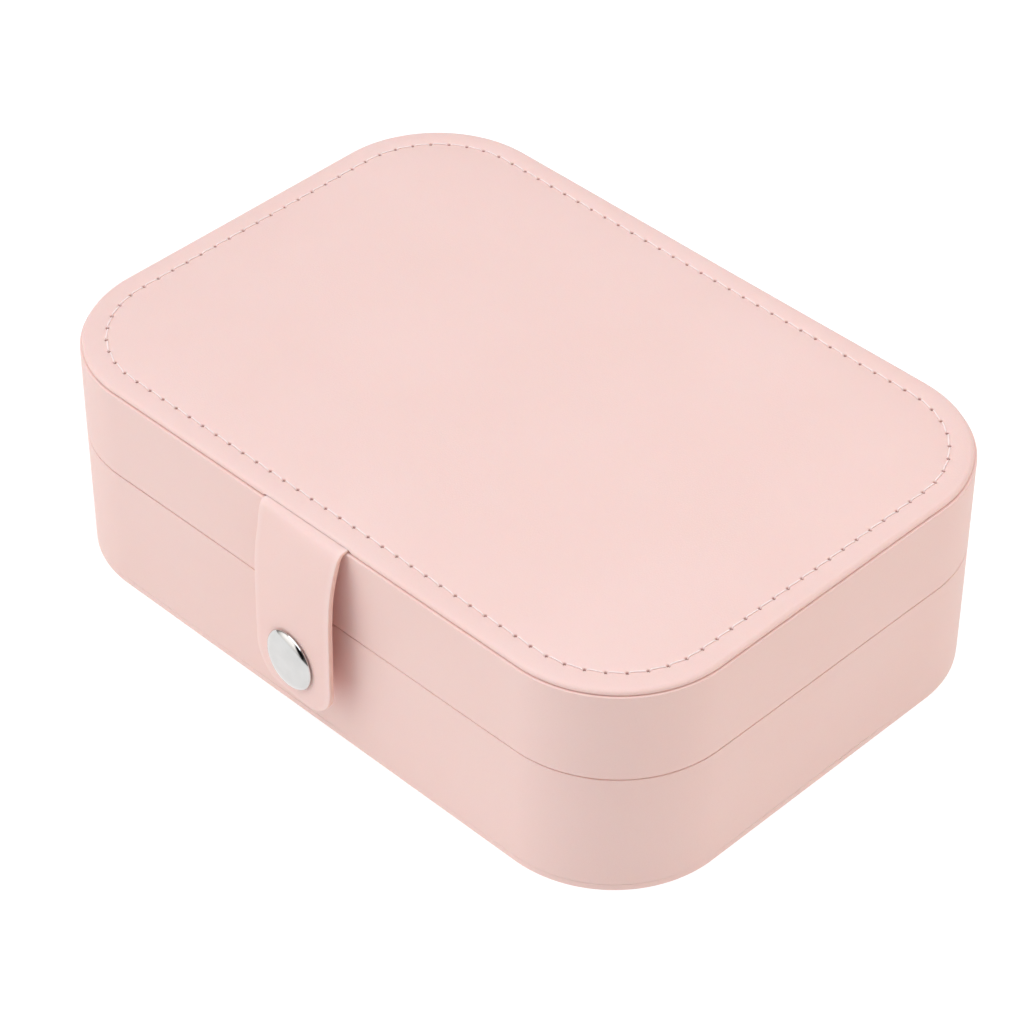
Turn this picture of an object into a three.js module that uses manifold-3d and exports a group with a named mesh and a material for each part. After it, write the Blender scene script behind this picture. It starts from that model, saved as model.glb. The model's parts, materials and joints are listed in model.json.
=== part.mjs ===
// A leather-covered jewellery case: a rounded rectangular base, a lid on a leather hinge strip along
// the back, and a snap strap at the front. Inside are four compartments, a block of ring pads,
// a fabric pocket and three necklace tabs.
// Units are millimetres. +Z is up, the front faces -Y, and the origin is the middle of the underside.
import * as THREE from "three";
import { mergeVertices } from "three/addons/utils/BufferGeometryUtils.js";
import Module from "manifold-3d";

const wasm = await Module();
wasm.setup();

// ---- Driving dimensions ----

const CASE_LENGTH = 165;
const CASE_DEPTH = 116;
const CORNER_RADIUS = 26.5;
const SPLIT_HEIGHT = 29; // where lid and base meet
const CREASE_HEIGHT = 49.8; // where the lid's side wrap meets its top cover
const TOP_HEIGHT = 51.8;

const GAP = 0.3; // clearance between neighbouring pieces
const LEATHER = 0.8;
const WALL_BOARD = 2.2;
const FLAT_BOARD = 1.5;
const LINING = 0.8;
const PADDING = 1.2;

const STRAP_WIDTH = 22.8;
const STRAP_PLY = 0.7;
const STRAP_CORNER = 7;
const STRAP_END_HEIGHT = 9.8;
const STRAP_TAIL_LENGTH = 12; // of the strap, under the top cover
const STRAP_STAND_OFF = 5.1; // of the strap's face from the wall, at the snap
const SNAP_HEIGHT = 18.9;

const HINGE_LENGTH = 104;
const HINGE_LEAF_HEIGHT = 11;
const HINGE_CLEARANCE = 0.6; // from each leaf's edge to the split

const DIVIDER_THICKNESS = 2.4;
const DIVIDER_TOP = 26.5;
const LONG_DIVIDER_X = 29;
const LEFT_CROSS_Y = 0;
const RIGHT_CROSS_Y = 16;
const RING_PAD_COUNT = 8;
const RING_PAD_TOP = 20;

const TAB_XS = { left: -40, middle: 0, right: 40 };
const TAB_WIDTH = 12;
const TAB_THICKNESS = 0.7;
const TAB_START_Y = -41.5;
const TAB_END_Y = -18.5;
const TAB_SNAP_Y = -24;

const CURVE_STEPS = 7; // per quarter circle
const SNAP_SIDES = 24;
const TAB_SNAP_SCALE = 0.6;
const TAB_SNAP_SIDES = 16;

// ---- Levels and insets worked out from them ----

const FRONT_Y = -CASE_DEPTH / 2;
const BACK_Y = CASE_DEPTH / 2;
const FRAME_INSET = LEATHER + GAP;
const INSIDE_FRAME = FRAME_INSET + WALL_BOARD;
const LINING_INSET = INSIDE_FRAME + GAP;
const INSIDE_LINING = LINING_INSET + LINING;
const CONTENTS_INSET = INSIDE_LINING + GAP;

const COVER_TOP = FLAT_BOARD;
const BASE_START = COVER_TOP + GAP;
const BASE_RIM = SPLIT_HEIGHT - GAP / 2;
const FLOOR_BOARD_TOP = BASE_START + FLAT_BOARD;
const FLOOR_START = FLOOR_BOARD_TOP + GAP;
const FLOOR_TOP = FLOOR_START + PADDING;
const CONTENTS_START = FLOOR_TOP + GAP;

const LID_RIM = SPLIT_HEIGHT + GAP / 2;
const LID_WALL_TOP = CREASE_HEIGHT - GAP;
const LID_BOARD_START = LID_WALL_TOP - FLAT_BOARD;
const CEILING_TOP = LID_BOARD_START - GAP;
const CEILING_START = CEILING_TOP - PADDING;
const LID_CONTENTS_TOP = CEILING_START - GAP;

// ---- Materials ----

const finish = (color, roughness, metalness = 0) =>
  new THREE.MeshStandardMaterial({ color, roughness, metalness });
const material = {
  leather: finish(0xf2cdc6, 0.55),
  board: finish(0xb49a7c, 0.9),
  foam: finish(0xf4efe6, 0.95),
  velvet: finish(0xecc3bd, 1),
  pocket: finish(0xe9bcb6, 0.95),
  steel: finish(0xd8d8da, 0.15, 1),
};

// ---- Solids ----

const X = new THREE.Vector3(1, 0, 0);
const Y = new THREE.Vector3(0, 1, 0);
const Z = new THREE.Vector3(0, 0, 1);

function roundedRect(path, x0, x1, y0, y1, radius) {
  path.moveTo(x0 + radius, y0);
  path.absarc(x1 - radius, y0 + radius, radius, -Math.PI / 2, 0);
  path.absarc(x1 - radius, y1 - radius, radius, 0, Math.PI / 2);
  path.absarc(x0 + radius, y1 - radius, radius, Math.PI / 2, Math.PI);
  path.absarc(x0 + radius, y0 + radius, radius, Math.PI, Math.PI * 1.5);
  path.closePath();
  return path;
}

// The case's outline in plan, moved inwards by inset.
function outline(inset, Kind = THREE.Shape) {
  const x = CASE_LENGTH / 2 - inset;
  const y = CASE_DEPTH / 2 - inset;
  return roundedRect(new Kind(), -x, x, -y, y, CORNER_RADIUS - inset);
}

// A shape in plan raised from z0 to z1, with its edges rounded by edge.
function prism(shape, z0, z1, edge = 0, edgeSteps = 3) {
  return new THREE.ExtrudeGeometry(shape, {
    depth: z1 - z0 - 2 * edge,
    curveSegments: CURVE_STEPS,
    bevelEnabled: edge > 0,
    bevelThickness: edge,
    bevelSize: edge,
    bevelOffset: -edge,
    bevelSegments: edgeSteps,
  }).translate(0, 0, z0 + edge);
}

function plate(inset, z0, z1, edge = 0) {
  return prism(outline(inset), z0, z1, edge);
}

function ring(outerInset, innerInset, z0, z1) {
  const shape = outline(outerInset);
  shape.holes.push(outline(innerInset, THREE.Path));
  return prism(shape, z0, z1);
}

function block(x0, x1, y0, y1, z0, z1, radius = 0) {
  if (radius) return prism(roundedRect(new THREE.Shape(), x0, x1, y0, y1, radius), z0, z1);
  return new THREE.BoxGeometry(x1 - x0, y1 - y0, z1 - z0).translate(
    (x0 + x1) / 2,
    (y0 + y1) / 2,
    (z0 + z1) / 2,
  );
}

// A shape drawn in the (y, z) plane, carried from x0 to x1.
function sideProfile(shape, x0, x1) {
  const options = { depth: x1 - x0, curveSegments: CURVE_STEPS, bevelEnabled: false };
  const turn = new THREE.Matrix4().makeBasis(Y, Z, X);
  return new THREE.ExtrudeGeometry(shape, options).applyMatrix4(turn).translate(x0, 0, 0);
}

// A cylinder whose axis runs along Y, from y0 to y1.
function crossBore(radius, y0, y1, x, z) {
  return new THREE.CylinderGeometry(radius, radius, y1 - y0, 24).translate(x, (y0 + y1) / 2, z);
}

// An upright cylinder from z0 to z1.
function uprightBore(radius, x, y, z0, z1) {
  return new THREE.CylinderGeometry(radius, radius, z1 - z0, 20)
    .rotateX(Math.PI / 2)
    .translate(x, y, (z0 + z1) / 2);
}

function toSolid(geometry) {
  const bare = geometry.clone();
  bare.deleteAttribute("normal");
  bare.deleteAttribute("uv");
  const merged = mergeVertices(bare, 1e-4);
  const vertProperties = merged.attributes.position.array;
  const triVerts = new Uint32Array(merged.index.array);
  return new wasm.Manifold(new wasm.Mesh({ numProp: 3, vertProperties, triVerts }));
}

function toGeometry(solid) {
  const mesh = solid.getMesh();
  const geometry = new THREE.BufferGeometry();
  geometry.setAttribute("position", new THREE.BufferAttribute(mesh.vertProperties, 3));
  geometry.setIndex(new THREE.BufferAttribute(mesh.triVerts, 1));
  geometry.computeVertexNormals();
  return geometry;
}

const combine = (how) => (first, ...others) =>
  toGeometry(others.reduce((made, other) => made[how](toSolid(other)), toSolid(first)));
const join = combine("add");
const cut = combine("subtract");
const common = combine("intersect");

// ---- The assembly ----

const caseGroup = new THREE.Group();

function piece(name, geometry, look) {
  const mesh = new THREE.Mesh(geometry, look);
  mesh.name = name;
  caseGroup.add(mesh);
  return mesh;
}

// ---- Snap fasteners ----
// A snap's profiles give each point as [radius, distance from the face the stud stands on].

function turned(profile, scale = 1, sides = SNAP_SIDES) {
  const points = profile.map(([radius, rise]) => new THREE.Vector2(radius * scale, rise * scale));
  return new THREE.LatheGeometry(points, sides);
}

// A tubular stud: a flange, a neck, and a bulb that the socket's spring grips.
const STUD_PROFILE = [
  [1.2, 0.3], [5, 0.3], [5, 0.7], [4.6, 0.9], [1.8, 0.9], [1.7, 1.1], [1.7, 1.7],
  [2.2, 2.0], [2.2, 2.2], [1.5, 2.6], [0, 2.6], [0, 2.2], [1.2, 2.2], [1.2, 0.3],
];
// A cup open towards the stud, with a bore at its back for the cap's post.
const SOCKET_PROFILE = [
  [2.8, 1.2], [5, 1.2], [5.2, 1.4], [5.2, 3.0], [5, 3.2], [1.6, 3.2], [1.6, 2.9],
  [2.8, 2.9], [2.8, 1.2],
];
// A domed cap with a rolled edge, and the post that goes through the strap into the socket.
const CAP_POST_START = 3.05;
const CAP_START = 5.4;
const CAP_RADIUS = 6.6;
const CAP_PROFILE = [
  [0, CAP_POST_START], [1.3, CAP_POST_START], [1.3, CAP_START], [CAP_RADIUS - 0.4, CAP_START],
  [CAP_RADIUS, CAP_START + 0.3], [CAP_RADIUS - 0.2, CAP_START + 0.7], [5.4, CAP_START + 1.15],
  [3.8, CAP_START + 1.55], [2, CAP_START + 1.78], [0, CAP_START + 1.85],
];
const POST_HEAD_RADIUS = 4;
const POST_SHAFT_RADIUS = 0.9;
const POST_TIP = 1.8;

// An open ring of square wire inside the socket.
function springRing() {
  const inner = 1.95;
  const outer = 2.5;
  const mouth = 0.5;
  const shape = new THREE.Shape();
  shape.absarc(0, 0, outer, mouth, 2 * Math.PI - mouth, false);
  shape.absarc(0, 0, inner, 2 * Math.PI - mouth, mouth, true);
  shape.closePath();
  return prism(shape, 1.4, 1.8).rotateX(-Math.PI / 2);
}

// ---- Base ----

function makeBase() {
  const studBore = crossBore(1.2, FRONT_Y - 1, FRONT_Y + INSIDE_FRAME + 1, 0, SNAP_HEIGHT);
  const headSeat = crossBore(
    POST_HEAD_RADIUS + GAP,
    FRONT_Y + INSIDE_FRAME - 0.9,
    FRONT_Y + INSIDE_FRAME + 1,
    0,
    SNAP_HEIGHT,
  );
  piece("bottom_cover", plate(0, 0, COVER_TOP, 0.5), material.leather);
  piece(
    "base_wall_frame",
    cut(
      ring(FRAME_INSET, INSIDE_FRAME, BASE_START, BASE_RIM - LEATHER - GAP),
      studBore,
      headSeat,
    ),
    material.board,
  );
  piece(
    "base_side_wrap",
    cut(
      join(
        ring(0, LEATHER, BASE_START, BASE_RIM),
        ring(0, INSIDE_FRAME, BASE_RIM - LEATHER, BASE_RIM),
      ),
      studBore,
    ),
    material.leather,
  );
  piece("base_floor_board", plate(LINING_INSET, BASE_START, FLOOR_BOARD_TOP), material.board);
  piece("base_wall_lining", ring(LINING_INSET, INSIDE_LINING, FLOOR_START, BASE_RIM), material.velvet);
  piece("base_floor_pad", plate(CONTENTS_INSET, FLOOR_START, FLOOR_TOP), material.velvet);
}

function makeSnapOnBase() {
  piece("snap_stud", turned(STUD_PROFILE), material.steel)
    .rotateX(Math.PI)
    .position.set(0, FRONT_Y, SNAP_HEIGHT);
  const headStart = -INSIDE_FRAME + 0.1;
  const profile = [
    [0, headStart], [POST_HEAD_RADIUS, headStart], [POST_HEAD_RADIUS, headStart + 0.5],
    [POST_SHAFT_RADIUS, headStart + 0.5], [POST_SHAFT_RADIUS, POST_TIP], [0, POST_TIP],
  ];
  piece("snap_post", turned(profile), material.steel)
    .rotateX(Math.PI)
    .position.set(0, FRONT_Y, SNAP_HEIGHT);
}

function makeDividers() {
  const half = DIVIDER_THICKNESS / 2;
  const endY = CASE_DEPTH / 2 - CONTENTS_INSET;
  const endX = CASE_LENGTH / 2 - CONTENTS_INSET;
  const sideX = LONG_DIVIDER_X + half + GAP;
  const wall = (name, x0, x1, y0, y1) =>
    piece(name, block(x0, x1, y0, y1, CONTENTS_START, DIVIDER_TOP), material.velvet);
  wall("long_divider_left", -LONG_DIVIDER_X - half, -LONG_DIVIDER_X + half, -endY, endY);
  wall("long_divider_right", LONG_DIVIDER_X - half, LONG_DIVIDER_X + half, -endY, endY);
  wall("cross_divider_left", -endX, -sideX, LEFT_CROSS_Y - half, LEFT_CROSS_Y + half);
  wall("cross_divider_right", sideX, endX, RIGHT_CROSS_Y - half, RIGHT_CROSS_Y + half);
}

// Foam strips with round tops, covered in velvet, which hold rings in the slits between them.
function makeRingPads() {
  const endX = LONG_DIVIDER_X - DIVIDER_THICKNESS / 2 - GAP;
  const depth = CASE_DEPTH - 2 * CONTENTS_INSET;
  const pitch = depth / RING_PAD_COUNT;
  const radius = (pitch - GAP) / 2;
  for (let i = 0; i < RING_PAD_COUNT; i++) {
    const middle = -depth / 2 + pitch * (i + 0.5);
    const shape = new THREE.Shape();
    shape.moveTo(middle - radius, CONTENTS_START);
    shape.lineTo(middle + radius, CONTENTS_START);
    shape.absarc(middle, RING_PAD_TOP - radius, radius, 0, Math.PI);
    shape.closePath();
    piece(`ring_pad_${i + 1}`, sideProfile(shape, -endX, endX), material.velvet);
  }
}

// ---- Lid ----

function makeLid() {
  const skirt = 1.2;
  const foamTop = TOP_HEIGHT - LEATHER - GAP;
  const halfNotch = STRAP_WIDTH / 2 + GAP;
  const tailNotch = (top) =>
    block(-halfNotch, halfNotch, FRONT_Y - 1, TAIL_END_Y + GAP, CREASE_HEIGHT - 1, top);
  piece(
    "lid_wall_frame",
    ring(FRAME_INSET, INSIDE_FRAME, LID_RIM + LEATHER + GAP, LID_WALL_TOP),
    material.board,
  );
  piece(
    "lid_side_wrap",
    join(
      ring(0, LEATHER, LID_RIM, LID_WALL_TOP),
      ring(0, INSIDE_FRAME, LID_RIM, LID_RIM + LEATHER),
    ),
    material.leather,
  );
  piece("lid_top_board", plate(LINING_INSET, LID_BOARD_START, LID_WALL_TOP), material.board);
  piece(
    "lid_top_foam",
    cut(plate(skirt + GAP, CREASE_HEIGHT, foamTop), tailNotch(TOP_HEIGHT)),
    material.foam,
  );
  piece(
    "lid_top_cover",
    cut(
      plate(0, CREASE_HEIGHT, TOP_HEIGHT, 0.9),
      plate(skirt, CREASE_HEIGHT - 1, foamTop + GAP),
      tailNotch(CREASE_HEIGHT + STRAP_PLY + GAP),
    ),
    material.leather,
  );
  piece("lid_wall_lining", ring(LINING_INSET, INSIDE_LINING, LID_RIM, LID_CONTENTS_TOP), material.velvet);
  piece("lid_ceiling_pad", plate(LINING_INSET, CEILING_START, CEILING_TOP), material.velvet);
}

// A sleeve against the lid's ceiling, open towards the front, with an elastic hem along its mouth.
function makePocket() {
  const x = 56;
  const mouthY = -2;
  const endY = 48;
  const corner = 8;
  const sheet = 1;
  const lowest = 39.3;
  const outer = block(-x, x, mouthY, endY, lowest, LID_CONTENTS_TOP, corner);
  const inner = block(
    -x + sheet,
    x - sheet,
    mouthY - corner,
    endY - sheet,
    lowest + sheet,
    LID_CONTENTS_TOP - LINING,
    corner - sheet,
  );
  const squareMouth = block(-x, x, mouthY, mouthY + corner, lowest, LID_CONTENTS_TOP);
  const hem = 4;
  piece("lid_pocket", cut(join(outer, squareMouth), inner), material.pocket);
  piece(
    "pocket_hem",
    block(-x, x, mouthY - GAP - hem, mouthY - GAP, lowest - 0.4, lowest + sheet),
    material.pocket,
  );
}

// Tabs that snap shut over a necklace chain, on a leather panel near the lid's front edge.
function makeNecklaceTabs() {
  const panelBottom = LID_CONTENTS_TOP - LEATHER;
  piece(
    "necklace_panel",
    block(-60, 60, -45, -16, panelBottom, LID_CONTENTS_TOP, 4),
    material.leather,
  );
  const faceDrop = 3.5 * TAB_SNAP_SCALE + GAP / 2; // the tab's upper face below the panel, at its snap
  for (const [side, x] of Object.entries(TAB_XS)) {
    const top = new THREE.SplineCurve([
      new THREE.Vector2(TAB_START_Y, panelBottom - GAP),
      new THREE.Vector2(TAB_START_Y + 5, panelBottom - GAP - 0.8),
      new THREE.Vector2(TAB_SNAP_Y - 5, panelBottom - faceDrop),
      new THREE.Vector2(TAB_END_Y, panelBottom - faceDrop),
    ]);
    const upper = top.getPoints(9);
    const lower = upper.map((p) => new THREE.Vector2(p.x, p.y - TAB_THICKNESS)).reverse();
    const tongue = roundedRect(
      new THREE.Shape(),
      x - TAB_WIDTH / 2,
      x + TAB_WIDTH / 2,
      TAB_START_Y - TAB_WIDTH,
      TAB_END_Y,
      TAB_WIDTH / 2 - 0.5,
    );
    piece(
      `necklace_tab_${side}`,
      cut(
        common(
          sideProfile(new THREE.Shape([...lower, ...upper]), x - TAB_WIDTH, x + TAB_WIDTH),
          prism(tongue, panelBottom - 10, panelBottom),
        ),
        uprightBore(1.2, x, TAB_SNAP_Y, panelBottom - 10, panelBottom),
      ),
      material.leather,
    );
    const snap = [
      ["stud", STUD_PROFILE],
      ["socket", SOCKET_PROFILE],
      ["cap", CAP_PROFILE],
    ];
    for (const [part, profile] of snap)
      piece(`tab_${part}_${side}`, turned(profile, TAB_SNAP_SCALE, TAB_SNAP_SIDES), material.steel)
        .rotateX(-Math.PI / 2)
        .position.set(x, TAB_SNAP_Y, panelBottom);
  }
}

// ---- Hinge strip ----
// One strip of leather glued along the back. Its fold is the hinge's axis, on its outer face.

function makeHingeStrip() {
  const leaf = (name, z0, z1) =>
    piece(
      name,
      block(
        -HINGE_LENGTH / 2,
        HINGE_LENGTH / 2,
        BACK_Y + GAP,
        BACK_Y + GAP + LEATHER,
        z0,
        z1,
      ),
      material.leather,
    );
  const start = SPLIT_HEIGHT + HINGE_CLEARANCE;
  leaf("hinge_strip_lower", SPLIT_HEIGHT - HINGE_LEAF_HEIGHT, SPLIT_HEIGHT - HINGE_CLEARANCE);
  leaf("hinge_strip_upper", start, SPLIT_HEIGHT + HINGE_LEAF_HEIGHT);
}

// ---- Strap ----
// Two plies of leather, whose tail is glued under the lid's top cover. The strap bows out over the
// front of the case, and its snap holds it off the wall.

const TAIL_END_Y = FRONT_Y + STRAP_TAIL_LENGTH;
const STRAP_START = 2 * STRAP_PLY + GAP * 1.5; // the face's distance from the wall at its top
const strapFace = new THREE.SplineCurve(
  [
    [STRAP_START, CREASE_HEIGHT + 0.5],
    [2.9, 48],
    [4.2, 42.5],
    [4.8, 34],
    [STRAP_STAND_OFF, SNAP_HEIGHT + CAP_RADIUS],
    [STRAP_STAND_OFF, STRAP_END_HEIGHT],
  ].map(([standOff, height]) => new THREE.Vector2(FRONT_Y - standOff, height)),
);

// The strap's face moved towards the wall by depth.
function strapCurve(depth) {
  const count = 22;
  return Array.from({ length: count + 1 }, (_, i) => {
    const point = strapFace.getPoint(i / count);
    const along = strapFace.getTangent(i / count);
    return new THREE.Vector2(point.x - along.y * depth, point.y + along.x * depth);
  });
}

function strapPly(depth) {
  const front = strapCurve(depth);
  const back = strapCurve(depth + STRAP_PLY);
  const half = STRAP_WIDTH / 2;
  const tongue = roundedRect(
    new THREE.Shape(),
    -half,
    half,
    STRAP_END_HEIGHT,
    CREASE_HEIGHT + 20,
    STRAP_CORNER,
  );
  const turn = new THREE.Matrix4().makeBasis(X, Z, Y.clone().negate());
  const silhouette = new THREE.ExtrudeGeometry(tongue, {
    depth: 20,
    curveSegments: CURVE_STEPS,
    bevelEnabled: false,
  }).applyMatrix4(turn).translate(0, FRONT_Y + 5, 0);
  const hole = crossBore(1.8, FRONT_Y - 10, FRONT_Y, 0, SNAP_HEIGHT);
  const profile = new THREE.Shape([...front, ...back.reverse()]);
  return cut(common(sideProfile(profile, -half - 1, half + 1), silhouette), hole);
}

function makeStrap() {
  const half = STRAP_WIDTH / 2;
  piece(
    "strap_tail",
    block(-half, half, FRONT_Y, TAIL_END_Y, CREASE_HEIGHT, CREASE_HEIGHT + STRAP_PLY),
    material.leather,
  );
  piece("strap_front_ply", strapPly(0), material.leather);
  piece("strap_back_ply", strapPly(STRAP_PLY + GAP / 2), material.leather);
  const onWall = (name, geometry) =>
    piece(name, geometry, material.steel)
      .rotateX(Math.PI)
      .position.set(0, FRONT_Y, SNAP_HEIGHT);
  onWall("snap_socket", turned(SOCKET_PROFILE));
  onWall("snap_spring", springRing());
  onWall("snap_cap", turned(CAP_PROFILE));
}

makeBase();
makeDividers();
makeRingPads();
makeSnapOnBase();
makeHingeStrip();
makeLid();
makePocket();
makeNecklaceTabs();
makeStrap();

export default caseGroup;
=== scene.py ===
"""The looks of a leather jewellery case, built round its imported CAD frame.

Shapes are worked out in millimetres in the CAD's own frame, with +Z up and the strap at the front
on -Y, and become metres when their mesh is made.
"""
import json
import math

import bmesh
import bpy
import numpy as np
from mathutils import Matrix, Quaternion, Vector, noise


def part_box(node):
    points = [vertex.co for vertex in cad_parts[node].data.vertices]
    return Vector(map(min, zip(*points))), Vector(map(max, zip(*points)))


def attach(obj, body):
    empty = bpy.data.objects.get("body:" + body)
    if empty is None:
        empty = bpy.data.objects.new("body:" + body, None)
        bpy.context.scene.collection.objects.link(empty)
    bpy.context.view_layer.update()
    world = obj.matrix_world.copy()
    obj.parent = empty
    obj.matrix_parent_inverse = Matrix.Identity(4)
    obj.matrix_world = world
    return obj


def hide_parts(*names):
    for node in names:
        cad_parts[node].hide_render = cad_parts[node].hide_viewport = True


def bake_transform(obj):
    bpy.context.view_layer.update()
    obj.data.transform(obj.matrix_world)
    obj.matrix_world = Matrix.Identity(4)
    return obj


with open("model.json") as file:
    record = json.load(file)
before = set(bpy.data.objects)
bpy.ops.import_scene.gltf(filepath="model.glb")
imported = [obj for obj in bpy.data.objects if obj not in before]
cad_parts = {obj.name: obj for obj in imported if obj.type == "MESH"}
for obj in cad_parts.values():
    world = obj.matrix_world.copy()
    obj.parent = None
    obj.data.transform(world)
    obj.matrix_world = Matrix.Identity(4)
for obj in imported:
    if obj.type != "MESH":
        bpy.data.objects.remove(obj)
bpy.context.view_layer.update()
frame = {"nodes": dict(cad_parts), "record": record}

MM = 0.001


def mm(*values):
    """Millimetres as metres."""
    return tuple(v * MM for v in values)


def box_mm(node):
    """The lowest and highest corner of a CAD node's box, in millimetres."""
    low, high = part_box(node)
    return np.array(low) / MM, np.array(high) / MM


def middle_and_half(node):
    """The middle of a CAD node's box, and half its size, in millimetres."""
    low, high = box_mm(node)
    return (low + high) / 2, (high - low) / 2


# ---- Sizes, from the frame where it holds them ----

HALF_X, HALF_Y, BASE_RIM = box_mm("base_side_wrap")[1]
LID_RIM = box_mm("lid_side_wrap")[0][2]
CREASE = box_mm("lid_top_cover")[0][2]
BOTTOM_TOP = box_mm("bottom_cover")[1][2]
SPLIT = (BASE_RIM + LID_RIM) / 2
LINING_INSET = HALF_X - box_mm("base_wall_lining")[1][0]
CORNER = 26.5
GAP = 0.3  # clearance between the frame's neighbouring pieces
LEATHER = 0.8
COVER_LEATHER = 0.6  # the thinner leather over the lid's foam
LINING = 0.8
SEAM_GAP = 0.16  # between the leather of the lid's rim and the base's
AJAR = 0.12  # how much wider that gap is at the left
TURN_IN = 4  # how far the side wraps are folded in over the boards' other edge

STITCH_INSET = 5.37
STITCH_PITCH = 3.9
STITCH_LENGTH = 0.87  # the share of the pitch that shows above the needle holes
STITCH_SLANT = 0.26  # each stitch lies a little across the line, as a lock stitch does
STITCH_RISE = 0.12
STITCH_DIP = 0.5
THREAD_RADIUS = 0.17


# ---- Meshes ----

def mesh_object(name, vertices, faces, painted_shade_and_highlight=None):
    """A piece from vertices in millimetres. Doubled vertices are merged and faces turned outwards.

    The last argument is painted shade for the leather's colour, from 0 to 1, deepest in a needle hole.
    It is negative, down to -1, for a painted pale highlight beside a cut edge.
    """
    mesh = bpy.data.meshes.new(name)
    mesh.from_pydata((np.asarray(vertices, float) * MM).tolist(), [], faces)
    depth = mesh.attributes.new("painted_shade_and_highlight", "FLOAT", "POINT")
    depth.data.foreach_set("value", np.zeros(len(vertices)) if painted_shade_and_highlight is None else painted_shade_and_highlight)
    bm = bmesh.new()
    bm.from_mesh(mesh)
    bmesh.ops.remove_doubles(bm, verts=bm.verts, dist=1e-7)
    bmesh.ops.recalc_face_normals(bm, faces=bm.faces)
    bm.to_mesh(mesh)
    bm.free()
    mesh.polygons.foreach_set("use_smooth", [True] * len(mesh.polygons))
    piece = bpy.data.objects.new(name, mesh)
    bpy.context.scene.collection.objects.link(piece)
    weighted = piece.modifiers.new("even_flats", "WEIGHTED_NORMAL")
    weighted.keep_sharp = True
    return piece


def grid_faces(rows, columns, wrap_rows, wrap_columns):
    """Quads over a grid whose vertex (i, j) has the index i * columns + j."""
    i = np.arange(rows if wrap_rows else rows - 1)[:, None]
    j = np.arange(columns if wrap_columns else columns - 1)[None, :]
    next_i, next_j = (i + 1) % rows, (j + 1) % columns
    corners = [i * columns + j, i * columns + next_j, next_i * columns + next_j, next_i * columns + j]
    return np.stack([np.broadcast_to(c, (i.size, j.size)) for c in corners], -1).reshape(-1, 4).tolist()


def loft(name, loops):
    """A closed solid through a row of closed loops, with a fan of triangles over each end."""
    loops = np.asarray(loops, float)
    count, around, _ = loops.shape
    faces = grid_faces(count, around, False, True)
    vertices = list(loops.reshape(-1, 3))
    for end in (0, count - 1):
        vertices.append(loops[end].mean(0))
        first = end * around
        faces += [(first + k, first + (k + 1) % around, len(vertices) - 1) for k in range(around)]
    return mesh_object(name, vertices, faces)


def dense(outline, longest):
    """Splits the long sides of a closed outline."""
    made = []
    for here, after in zip(outline, np.roll(outline, -1, 0)):
        parts = max(int(np.ceil(np.linalg.norm(after - here) / longest)), 1)
        made += [here + (after - here) * t / parts for t in range(parts)]
    return np.array(made)


def rounded(corners, steps=4):
    """A closed outline through corners (x, y, radius), each turned with a smooth curve."""
    points = []
    for k, (x, y, radius) in enumerate(corners):
        here = np.array((x, y), float)
        before = np.array(corners[k - 1][:2]) - here
        after = np.array(corners[(k + 1) % len(corners)][:2]) - here
        start = here + before / np.linalg.norm(before) * radius
        end = here + after / np.linalg.norm(after) * radius
        if radius == 0:
            points.append(here)
            continue
        for t in np.linspace(0, 1, steps + 1):
            points.append((1 - t) ** 2 * start + 2 * t * (1 - t) * here + t * t * end)
    return np.array(points)


def spline(points, count):
    """count points spread evenly along a smooth curve through the given ones."""
    p = np.array(points, float)
    ends = np.vstack([2 * p[0] - p[1], p, 2 * p[-1] - p[-2]])
    t = np.linspace(0, 1, 24, endpoint=False)[:, None]
    fine = []
    for a, b, c, d in zip(ends, ends[1:], ends[2:], ends[3:]):
        square = 2 * a - 5 * b + 4 * c - d
        cube = 3 * b - a - 3 * c + d
        fine.append(0.5 * (2 * b + (c - a) * t + square * t**2 + cube * t**3))
    fine = np.vstack([*fine, p[-1:]])
    along = np.r_[0, np.cumsum(np.linalg.norm(np.diff(fine, axis=0), axis=1))]
    spaced = np.linspace(0, along[-1], count)
    return np.stack([np.interp(spaced, along, fine[:, k]) for k in range(p.shape[1])], 1)


class Track:
    """A rounded rectangle in plan, as stations counterclockwise from its +Y middle.

    A station is a point of the core rectangle, and the direction from there to the outline. The
    stations are evenly spaced on the outline at_inset, or at the shares of its length in shares.
    """

    def __init__(
        self, count, half_x=HALF_X, half_y=HALF_Y, corner=CORNER, centre=(0, 0), at_inset=0, shares=None
    ):
        a, b = half_x - corner, half_y - corner
        turn = (corner - at_inset) * math.pi / 2
        runs = [0, a, turn, 2 * b, turn, 2 * a, turn, 2 * b, turn, a]
        knots = np.cumsum(runs)
        self.length = knots[-1]
        s = (np.arange(count) / count if shares is None else shares) * self.length
        x = np.interp(s, knots, [0, -a, -a, -a, -a, a, a, a, a, 0])
        y = np.interp(s, knots, [b, b, b, -b, -b, -b, -b, b, b, b])
        angle = np.interp(s, knots, np.radians([90, 90, 180, 180, 270, 270, 360, 360, 450, 450]))
        self.core = np.stack([x, y], 1) + centre
        self.out = np.stack([np.cos(angle), np.sin(angle)], 1)
        self.corner, self.count = corner, count
        self.half = min(half_x, half_y)
        ridge_x = max(half_x - self.half, 0)
        ridge_y = max(half_y - self.half, 0)
        middle = np.clip(self.core - centre, [-ridge_x, -ridge_y], [ridge_x, ridge_y])
        self.ridge = middle + centre

    def at(self, inset):
        """The outline moved inwards by inset. Beyond most of the corners' radius it closes on the ridge."""
        straight = 0.68 * self.corner
        edge = self.core + (self.corner - min(inset, straight)) * self.out
        if inset <= straight:
            return edge
        share = min((inset - straight) / (self.half - straight), 1)
        return edge + (self.ridge - edge) * share

    def grid(self, profile):
        """Stations by profile points (inset, height), as positions."""
        rings = [np.column_stack([self.at(i), np.full(self.count, z)]) for i, z in profile]
        return np.stack(rings, 1)


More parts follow.
